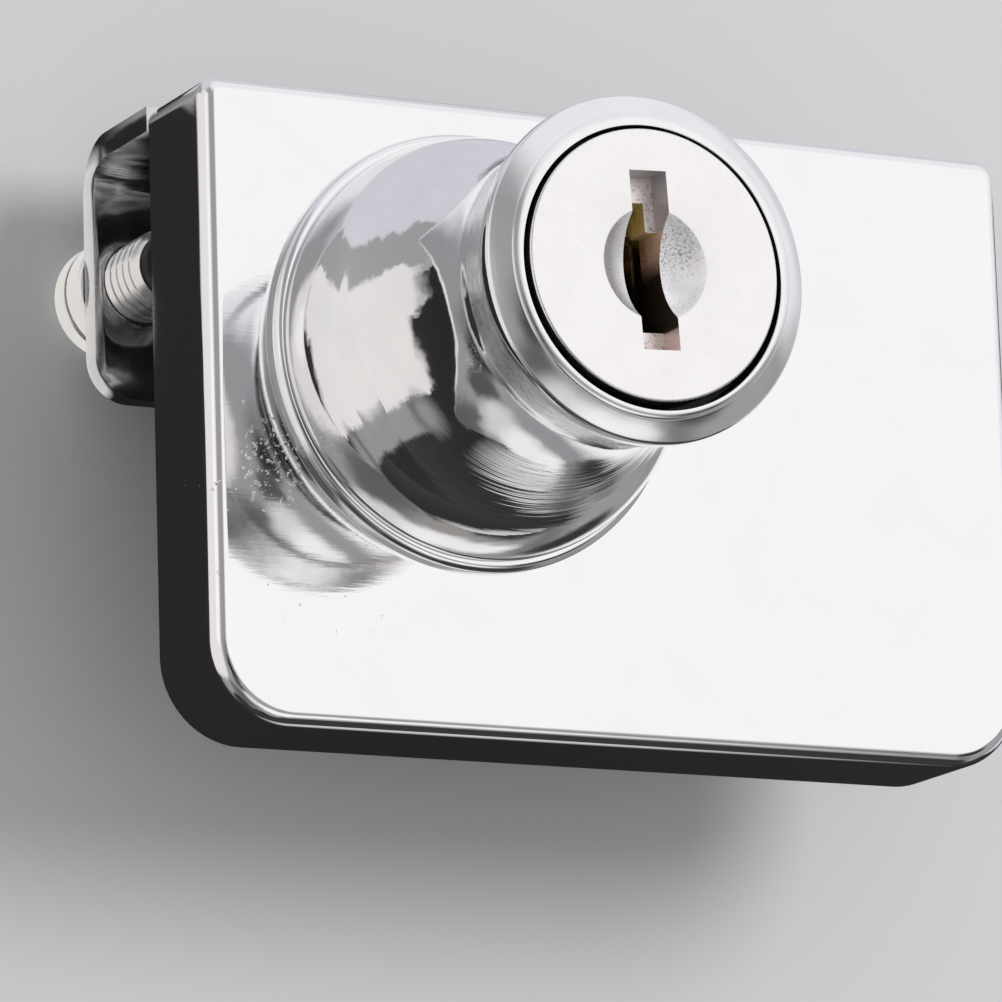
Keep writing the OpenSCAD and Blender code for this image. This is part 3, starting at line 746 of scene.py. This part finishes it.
# wafers, drive and bolt keep the CAD shape, with broken edges
smallPieces = [
    ("drive_cam", "driveCam", "plug", "plated_steel", screwZinc, 0.08),
    ("cam_screw", "camScrew", "plug", "plated_steel", screwZinc, 0.05),
    ("bolt", "slidingBolt", "bolt", "bolt_zinc", boltZinc, 0.14),
]
for i in range(1, plugSizes["wafers"] + 1):
    smallPieces.append(("wafer_%d" % i, "wafer%d" % i, "wafer_%d" % i, "wafer_brass", waferBrass, 0.04))
for node, name, body, slot, finish, width in smallPieces:
    seat(softenedCopy(node, name, width), body, node, finish, 35)
print("wafers, drive and bolt made")


# node trees for what is wound or repeats

def newTree(name, inputs):
    tree = bpy.data.node_groups.new(name, "GeometryNodeTree")
    tree.interface.new_socket(name="Geometry", in_out="INPUT", socket_type="NodeSocketGeometry")
    sockets = {}
    for label, kind in inputs.items():
        item = tree.interface.new_socket(name=label, in_out="INPUT", socket_type="NodeSocket" + kind)
        sockets[label] = item.identifier
    tree.interface.new_socket(name="Geometry", in_out="OUTPUT", socket_type="NodeSocketGeometry")
    return tree, addNode(tree, "NodeGroupInput").outputs, sockets


# makes a plain mesh from a tree, its inputs set by identifier
def growPiece(name, tree, sockets, values, startMesh):
    piece = addPiece(name, startMesh)
    step = piece.modifiers.new("grow", "NODES")
    step.node_group = tree
    for label, value in values.items():
        step[sockets[label]] = value
    bpy.context.view_layer.update()
    return bakeModifiers(piece)


# joins what a tree made, paints it and hands it out
def ending(tree, given, geometry):
    whole = addNode(tree, "GeometryNodeRealizeInstances", {"Geometry": geometry}).outputs["Geometry"]
    paint = addNode(tree, "GeometryNodeSetMaterial", {"Geometry": whole, "Material": given["Finish"]})
    addNode(tree, "NodeGroupOutput", {"Geometry": paint.outputs["Geometry"]})


# wound wire spring along Y, placed at one point
def springTree():
    tree, given, sockets = newTree("waferSpring", {
        "Turns": "Float", "Coil Radius": "Float", "Length": "Float", "Wire Radius": "Float",
        "Place": "Vector", "Finish": "Material"})
    spiral = addNode(tree, "GeometryNodeCurveSpiral", {
        "Resolution": 28, "Rotations": given["Turns"], "Start Radius": given["Coil Radius"],
        "End Radius": given["Coil Radius"], "Height": given["Length"]})
    wire = addNode(tree, "GeometryNodeCurvePrimitiveCircle", {
        "Resolution": 10, "Radius": given["Wire Radius"]})
    tube = addNode(tree, "GeometryNodeCurveToMesh", {
        "Curve": spiral.outputs["Curve"], "Profile Curve": wire.outputs["Curve"], "Fill Caps": True})
    laid = addNode(tree, "GeometryNodeTransform", {
        "Geometry": tube.outputs["Mesh"], "Rotation": (-math.pi / 2, 0, 0), "Translation": given["Place"]})
    ending(tree, given, laid.outputs["Geometry"])
    return tree, sockets


springSizes = {"low": -3.25, "length": 2.6, "coil": 0.55, "wire": 0.09, "x": 2.0, "turns": 4.0}


def buildSprings():
    s = springSizes
    tree, sockets = springTree()
    for i, (z, side) in enumerate(waferPlaces, 1):
        name = "waferSpring%d" % i
        values = {
            "Turns": s["turns"], "Coil Radius": (s["coil"] - s["wire"]) * mm, "Wire Radius": s["wire"] * mm,
            "Length": (s["length"] - 2 * s["wire"]) * mm, "Finish": springSteel,
            "Place": Vector((knobX + side * s["x"], knobY + s["low"] + s["wire"], z)) * mm,
        }
        spring = growPiece(name, tree, sockets, values, bpy.data.meshes.new(name))
        seat(spring, "plug", "wafer_spring_%d" % i, springSteel, 60)


buildSprings()
print("springs wound")


# countersunk screw built in the tree and set on each point of the start mesh
def screwTree():
    tree, given, sockets = newTree("countersunkScrews", {
        "Head Radius": "Float", "Shank Radius": "Float", "Head Height": "Float", "Length": "Float",
        "Recess": "Vector", "Finish": "Material"})
    head = addNode(tree, "GeometryNodeMeshCone", {
        "Vertices": 40, "Radius Bottom": given["Head Radius"], "Radius Top": given["Shank Radius"],
        "Depth": given["Head Height"]}).outputs["Mesh"]
    shank = addNode(tree, "GeometryNodeMeshCone", {
        "Vertices": 40, "Radius Bottom": given["Shank Radius"], "Radius Top": given["Shank Radius"],
        "Depth": given["Length"]}).outputs["Mesh"]
    whole = addNode(tree, "GeometryNodeMeshBoolean", {"Mesh 2": [head, shank]}, operation="UNION")
    bar = addNode(tree, "GeometryNodeMeshCube", {"Size": given["Recess"]}).outputs["Mesh"]
    crossed = addNode(tree, "GeometryNodeTransform", {"Geometry": bar, "Rotation": (0, 0, math.pi / 2)})
    solids = {"Mesh 1": whole.outputs["Mesh"], "Mesh 2": [bar, crossed.outputs["Geometry"]]}
    cut = addNode(tree, "GeometryNodeMeshBoolean", solids, operation="DIFFERENCE")
    spots = addNode(tree, "GeometryNodeInstanceOnPoints", {
        "Points": given["Geometry"], "Instance": cut.outputs["Mesh"]})
    ending(tree, given, spots.outputs["Instances"])
    return tree, sockets


def buildScrews():
    s = screwSizes
    tree, sockets = screwTree()
    groups = [("coverScrews", "cover_screws", bossSpots, caseBack, s["coverLength"]),
              ("housingScrews", "housing_screws", housingSpots, caseInner, s["housingLength"])]
    for name, node, spots, height, length in groups:
        start = bpy.data.meshes.new(name)
        start.from_pydata([Vector((x, y, height)) * mm for x, y in spots], [], [])
        values = {
            "Head Radius": s["head"] * mm, "Shank Radius": s["shank"] * mm,
            "Head Height": s["headHeight"] * mm, "Length": length * mm,
            "Recess": Vector(s["recess"]) * mm, "Finish": screwZinc,
        }
        screws = growPiece(name, tree, sockets, values, start)
        seat(screws, "case", node, screwZinc, 30)


buildScrews()
print("countersunk screws set")


# bent sheet bracket
bracketSizes = {
    "top": 6.85, "low": -23.55, "sheet": 1.2, "gap": 5.9, "bend": 2.6, "frontBend": 1.3, "blankHalf": 22.5,
    "legHalf": 21.5, "legHeight": 12.6, "legCorner": 2.1, "coverHalf": 20.1, "coverLow": -22.15,
    "coverCorner": 2.6, "topCorner": 0.2, "cornerSteps": 16, "step": 0.35, "stepLap": 0.2,
    "screwX": 19.0, "screwHole": 2.05, "edge": 0.12,
}


def buildBracket():
    s = bracketSizes
    leg = -s["gap"] - s["sheet"]
    cover = caseBack + s["sheet"]
    rear = (s["top"] - s["bend"], leg + s["bend"])
    fore = (s["top"] - s["frontBend"], cover - s["frontBend"])
    legLow = s["top"] - s["legHeight"]
    section = [(legLow - past, leg)] + arc(rear, s["bend"], -90, 0, 24) + arc(fore, s["frontBend"], 0, 90, 16)
    section += [(s["low"], cover), (s["low"], caseBack)]
    section += arc(fore, s["frontBend"] - s["sheet"], 90, 0, 6)
    section += arc(rear, s["bend"] - s["sheet"], 0, -90, 24) + [(legLow - past, -s["gap"])]
    count = len(section)
    points = [(x, y, z) for x in (-s["blankHalf"], s["blankHalf"]) for y, z in section]
    faces = [(k, (k + 1) % count, count + (k + 1) % count, count + k) for k in range(count)]
    faces += [tuple(range(count))[::-1], tuple(range(count, 2 * count))]
    bracket = pieceFrom("clampBracket", points, faces)
    upper = s["top"] + past
    legTrim = plateOutline(-s["legHalf"], s["legHalf"], legLow, upper,
                           s["legCorner"], s["topCorner"], s["cornerSteps"])
    coverTrim = plateOutline(-s["coverHalf"], s["coverHalf"], s["coverLow"], upper,
                             s["coverCorner"], s["topCorner"], s["cornerSteps"])
    trim = stacked("cutter", [(legTrim, leg - past), (legTrim, s["step"])])
    coverPart = stacked("cutter", [(coverTrim, s["step"] - s["stepLap"]), (coverTrim, cover + past)])
    carve(trim, [coverPart], "UNION")
    carve(bracket, [trim], "INTERSECT")
    holes = []
    for side in (-1, 1):
        holes.append(rod((side * s["screwX"], 0), s["screwHole"], leg - past, -s["gap"] + past))
    for point in bossSpots:
        holes += screwHole(point, caseBack, 0, cover + past)
    carve(bracket, holes)
    breakEdges(bracket, s["edge"], 50)
    seat(bracket, "case", "clamp_bracket", sheetPlating, 30)
    return bracket


clampBracket = buildBracket()
print("bracket bent:", len(clampBracket.data.polygons), "faces")


# clamp screws with a rolled thread
clampSizes = {
    "x": 19.0, "head": 2.8, "headHeight": 3.2, "headTop": -7.2, "headRound": 0.5, "headEase": 0.15,
    "groove": 0.15, "grooveDepth": 0.3, "grooveEase": 0.05, "recessHalf": 1.6, "recessWidth": 0.7,
    "recessDepth": 1.2, "thread": 2.0, "threadDepth": 0.24, "threadSteps": 14, "flank": 1.25, "fade": 0.5,
    "threadFrom": 0.01, "pitch": 0.7, "end": -2.65, "chamfer": 0.35, "stem": 0.85, "stemDepth": 1.45,
    "steps": 72,
}


def clampProfile():
    s = clampSizes
    head, top, thread, end, chamfer = s["head"], s["headTop"], s["thread"], s["end"], s["chamfer"]
    low = top - s["headHeight"]
    mid = top - s["headHeight"] / 2
    inner = head - s["grooveDepth"]
    eased = head - s["grooveEase"]
    profile = [(0, low)] + arc((head - s["headRound"], low + s["headRound"]), s["headRound"], -90, 0, 8)
    under, over = mid - s["groove"], mid + s["groove"]
    profile += [(head, under - s["grooveEase"]), (eased, under), (inner, under)]
    profile += [(inner, over), (eased, over), (head, over + s["grooveEase"])]
    profile += [(head, top - s["headEase"]), (head - s["headEase"], top), (thread, top)]
    run = end - chamfer - top
    count = int(run / (s["pitch"] / s["threadSteps"]))
    profile += [(thread, top + run * i / count) for i in range(1, count + 1)]
    profile += [(thread - chamfer / 2, end - chamfer / 2), (thread - chamfer, end)]
    profile += [(s["stem"], end), (s["stem"], end - s["stemDepth"]), (0, end - s["stemDepth"])]
    return profile


def threadRipple(angle, radius, height):
    s = clampSizes
    if abs(radius - s["thread"]) > 1e-6 or height < s["headTop"] + s["threadFrom"]:
        return 0
    turn = (height / s["pitch"] - angle / (2 * math.pi)) % 1
    tooth = min(1, s["flank"] * abs(2 * turn - 1))
    fade = min(1, (height - s["headTop"]) / s["fade"])
    return -s["threadDepth"] * (1 - tooth) * fade


# soft tip in the end of a clamp screw
tipSizes = {
    "stem": 0.8, "stemLow": -4.0, "seat": -2.6, "head": 1.6, "face": -2.1, "flat": 1.0,
    "lowRound": 0.15, "topRound": 0.2,
}


def tipProfile():
    s = tipSizes
    low, high = s["lowRound"], s["topRound"]
    profile = [(0, s["stemLow"]), (s["stem"], s["stemLow"]), (s["stem"], s["seat"])]
    profile += [(s["head"] - low, s["seat"])] + arc((s["head"] - low, s["seat"] + low), low, -90, 0, 4)
    profile += arc((s["head"] - high, s["face"] - high), high, 0, 80, 5)
    return profile + [(s["flat"], s["face"]), (0, s["face"])]


def buildClampScrews():
    s = clampSizes
    low = s["headTop"] - s["headHeight"]
    for side, word in ((-1, "left"), (1, "right")):
        x = side * s["x"]
        title = word.capitalize()
        screw = lathe("clampScrew" + title, clampProfile(), (x, 0), s["steps"], ripple=threadRipple)
        long, wide = s["recessHalf"], s["recessWidth"] / 2
        bars = [block((x - across, -along, low - past), (x + across, along, low + s["recessDepth"]))
                for across, along in ((long, wide), (wide, long))]
        carve(screw, bars)
        seat(screw, "clamp_screw_" + word, "clamp_screw_" + word, screwZinc, 35)
        tip = lathe("screwTip" + title, tipProfile(), (x, 0), 48)
        seat(tip, "screw_tip_" + word, "screw_tip_" + word, softRubber, 40)


buildClampScrews()
print("clamp screws threaded")


# rubber pad that the glass lies on, with eased edges
padSizes = {
    "half": 18.7, "low": -20.85, "top": 4.25, "lowCorner": 2.7, "topCorner": 1.0, "thick": 0.5,
    "ease": 0.14, "easeSteps": 6, "cornerSteps": 12,
}


def buildPad():
    s = padSizes
    layers = []
    for i in range(s["easeSteps"] + 1):
        a = math.radians(90 * i / s["easeSteps"])
        inset = s["ease"] * (1 - math.sin(a))
        outline = plateOutline(-s["half"] + inset, s["half"] - inset, s["low"] + inset, s["top"] - inset,
                               s["lowCorner"] - inset, s["topCorner"] - inset, s["cornerSteps"])
        layers.append((outline, s["ease"] * (1 - math.cos(a))))
    layers.append((layers[-1][0], s["thick"]))
    pad = stacked("glassPad", layers)
    seat(pad, "case", "glass_pad", softRubber, 40)


buildPad()
print("pad laid")


# camera at the photograph's viewing angle
viewSizes = {
    "place": (-146.81, -78.57, 273.26),
    "right": (0.88793, -0.03132, 0.45891),
    "up": (-0.07144, 0.97618, 0.20486),
    "back": (-0.45440, -0.21468, 0.86454),
    "lens": 238.2, "sensor": 36, "clip": (0.01, 20),
}


def setCamera():
    v = viewSizes
    eye = bpy.data.cameras.new("camera")
    eye.sensor_width = v["sensor"]
    eye.lens = v["lens"]
    eye.clip_start, eye.clip_end = v["clip"]
    rig = addPiece("camera", eye)
    turn = Matrix((v["right"], v["up"], v["back"])).transposed().to_4x4()
    rig.matrix_world = Matrix.Translation(Vector(v["place"]) * mm) @ turn
    scene.camera = rig


setCamera()


# pale floor; for glossy rays it glows with a painted reflection: a dark ground with pale sheets and cards
# each sheet: heading from X towards Y and half width in degrees, where it starts, its soft edge, its colour
# each card: its middle, its half sizes, its soft edge as a share of them, its colour
stageSizes = {
    "floor": -10.45, "reach": 3.0, "pale": (0.6, 0.6, 0.61), "reflectionGround": (0.012, 0.012, 0.014),
    "ragged": 11, "raggedScale": 60, "roughness": 0.9, "sideEdge": 1,
    "sheets": [
        (80, 64, 20, 3, (0.63, 0.63, 0.685)),
        (149, 12, 30, 4, (0.34, 0.335, 0.34)),
        (221, 9, 112, 26, (0.3, 0.295, 0.295)),
        (167, 12, 44, 6, (0.78, 0.755, 0.745)),
        (195, 19, 58, 3, (0.8, 0.765, 0.75)),
        (356, 27, 60, 4, (0.6, 0.6, 0.63)),
    ],
    "cards": [
        ((8, -60), (24, 17), 0.4, (0.62, 0.61, 0.6)),
        ((-64, -60), (17, 15), 0.5, (0.28, 0.27, 0.27)),
        ((-22.6, -0.4), (3.7, 8.1), 0.1, (0.86, 0.84, 0.82)),
    ],
}


# 1 in a sector of the floor from some distance on and 0 elsewhere
def reflectionSheet(tree, vector, heading, half, near, soft):
    turned = addNode(tree, "ShaderNodeVectorRotate", {"Vector": vector, "Angle": -math.radians(heading)},
                     rotation_type="Z_AXIS")
    at = axes(tree, turned.outputs["Vector"])
    angle = calc(tree, "ABSOLUTE", calc(tree, "ARCTAN2", at["Y"], at["X"]))
    side = stageSizes["sideEdge"]
    inside = spread(tree, angle, 1, 0, math.radians(half - side), math.radians(half + side))
    length = vectorCalc(tree, "LENGTH", vector)
    return times(tree, inside, spread(tree, length, 0, 1, (near - soft) * mm, (near + soft) * mm))


# 1 inside an ellipse on the floor and 0 outside, with a soft edge
def reflectionCard(tree, vector, centre, half, soft):
    away = vectorCalc(tree, "SUBTRACT", vector, (centre[0] * mm, centre[1] * mm, 0))
    scaled = vectorCalc(tree, "MULTIPLY", away, (1 / (half[0] * mm), 1 / (half[1] * mm), 0))
    return spread(tree, vectorCalc(tree, "LENGTH", scaled), 1, 0, 1 - soft, 1 + soft)


# a vector shifted a little by noise, which gives sheets and cards uneven edges
def ragged(tree, vector, scale, size):
    noise = addNode(tree, "ShaderNodeTexNoise", {
        "Vector": vector, "Scale": scale, "Detail": 6, "Roughness": 0.62})
    shift = vectorCalc(tree, "MULTIPLY_ADD", noise.outputs["Color"], (2 * size,) * 3, (-size,) * 3)
    return vectorCalc(tree, "ADD", vector, shift)


def buildFloor():
    s = stageSizes
    z = s["floor"] * mm
    r = s["reach"]
    mesh = bpy.data.meshes.new("floor")
    mesh.from_pydata([(-r, -r, z), (r, -r, z), (r, r, z), (-r, r, z)], [], [(0, 1, 2, 3)])
    floor = addPiece("floor", mesh)
    finish, tree = newFinish("floorPaper")
    spotted = addNode(tree, "ShaderNodeTexCoord").outputs["Object"]
    uneven = ragged(tree, spotted, s["raggedScale"], s["ragged"] * mm)
    shown = s["reflectionGround"]
    for *sheet, colour in s["sheets"]:
        shown = blended(tree, shown, colour, reflectionSheet(tree, uneven, *sheet))
    for *card, colour in s["cards"]:
        shown = blended(tree, shown, colour, reflectionCard(tree, spotted, *card))
    # painted reflection: for glossy rays the floor is black and glows with the painted ground, sheets and
    # cards
    mirrored = addNode(tree, "ShaderNodeLightPath").outputs["Is Glossy Ray"]
    looks = {"Base Color": blended(tree, s["pale"], (0, 0, 0), mirrored), "Roughness": s["roughness"],
             "Emission Color": shown, "Emission Strength": mirrored}
    feed(tree, tree.nodes["Principled BSDF"], looks)
    mesh.materials.append(finish)


buildFloor()


# even light for the scene; the metal shows soft boxes and dark flags instead
# each card: heading from X towards Y and tilt from Z in degrees, its half size, its soft edge, its colour
lightSizes = {
    "diffuse": 0.6,
    "base": (0.34, 0.34, 0.35),
    "ragged": 0.1,
    "raggedScale": 6,
    "cards": {
        "right box": (55, 70, 50, 10, (0.88, 0.885, 0.915)),
        "top box": (25, 30, 29, 6, (1.0, 0.985, 0.985)),
        "far box": (122, 97, 32, 9, (0.64, 0.64, 0.7)),
        "left card": (176, 74, 37, 4, (0.83, 0.8, 0.785)),
        "left glow": (166, 54, 8, 5, (1.0, 0.99, 0.97)),
        "low front left": (240, 63, 16, 8, (0.13, 0.13, 0.135)),
        "low front right": (335, 63, 20, 8, (0.14, 0.138, 0.142)),
        "top flag": (190, 15, 11, 5, (0.22, 0.22, 0.225)),
        "zenith flag": (212, 17, 7, 4, (0.03, 0.03, 0.03)),
        "front left flag": (232, 29, 8, 3, (0.1, 0.1, 0.105)),
        "front box left": (258, 40, 8, 6, (0.74, 0.735, 0.73)),
        "front box": (280, 46, 9, 6, (1.0, 0.995, 0.985)),
        "front box right": (298, 48, 8, 4, (1.0, 0.995, 0.985)),
        "right flag": (340, 66, 18, 7, (0.36, 0.35, 0.36)),
        "right core": (332, 49, 8, 4, (0.04, 0.04, 0.04)),
        "near left": (223, 100, 16, 5, (0.33, 0.32, 0.32)),
        "horizon left": (245, 93, 16, 3, (0.03, 0.03, 0.032)),
        "horizon middle": (270, 84, 16, 3, (0.035, 0.035, 0.037)),
        "horizon right": (297, 80, 17, 4, (0.04, 0.04, 0.042)),
        "brown card": (275, 66, 7, 4, (0.36, 0.33, 0.3)),
    },
    "key": {"place": (0.25, 0.16, 0.5), "size": 0.3, "power": 2.0},
}


# lays one card of the sky over what is below it
def addCard(tree, direction, below, heading, tilt, half, soft, colour):
    a, t = math.radians(heading), math.radians(tilt)
    middle = (math.sin(t) * math.cos(a), math.sin(t) * math.sin(a), math.cos(t))
    near = vectorCalc(tree, "DOT_PRODUCT", direction, middle)
    outer, inner = math.cos(math.radians(half + soft)), math.cos(math.radians(half - soft))
    mask = spread(tree, near, 0, 1, outer, inner, interpolation_type="SMOOTHSTEP")
    return blended(tree, below, colour, mask)


def setLight():
    s = lightSizes
    world = bpy.data.worlds.new("studio")
    scene.world = world
    world.use_nodes = True
    tree = world.node_tree
    sky = addNode(tree, "ShaderNodeTexCoord").outputs["Generated"]
    direction = vectorCalc(tree, "NORMALIZE", ragged(tree, sky, s["raggedScale"], s["ragged"]))
    shown = s["base"]
    for card in s["cards"].values():
        shown = addCard(tree, direction, shown, *card)
    mirrored = addNode(tree, "ShaderNodeLightPath").outputs["Is Glossy Ray"]
    lit = blended(tree, (s["diffuse"],) * 3, shown, mirrored)
    feed(tree, tree.nodes["Background"], {"Color": lit})
    key = s["key"]
    lamp = bpy.data.lights.new("key", "AREA")
    lamp.shape = "DISK"
    lamp.size = key["size"]
    lamp.energy = key["power"]
    holder = addPiece("key", lamp)
    holder.location = key["place"]
    holder.rotation_euler = (-Vector(key["place"])).to_track_quat("-Z", "Y").to_euler()
    holder.visible_glossy = False
    scene.view_settings.view_transform = "Standard"


setLight()
print("stage and light set")
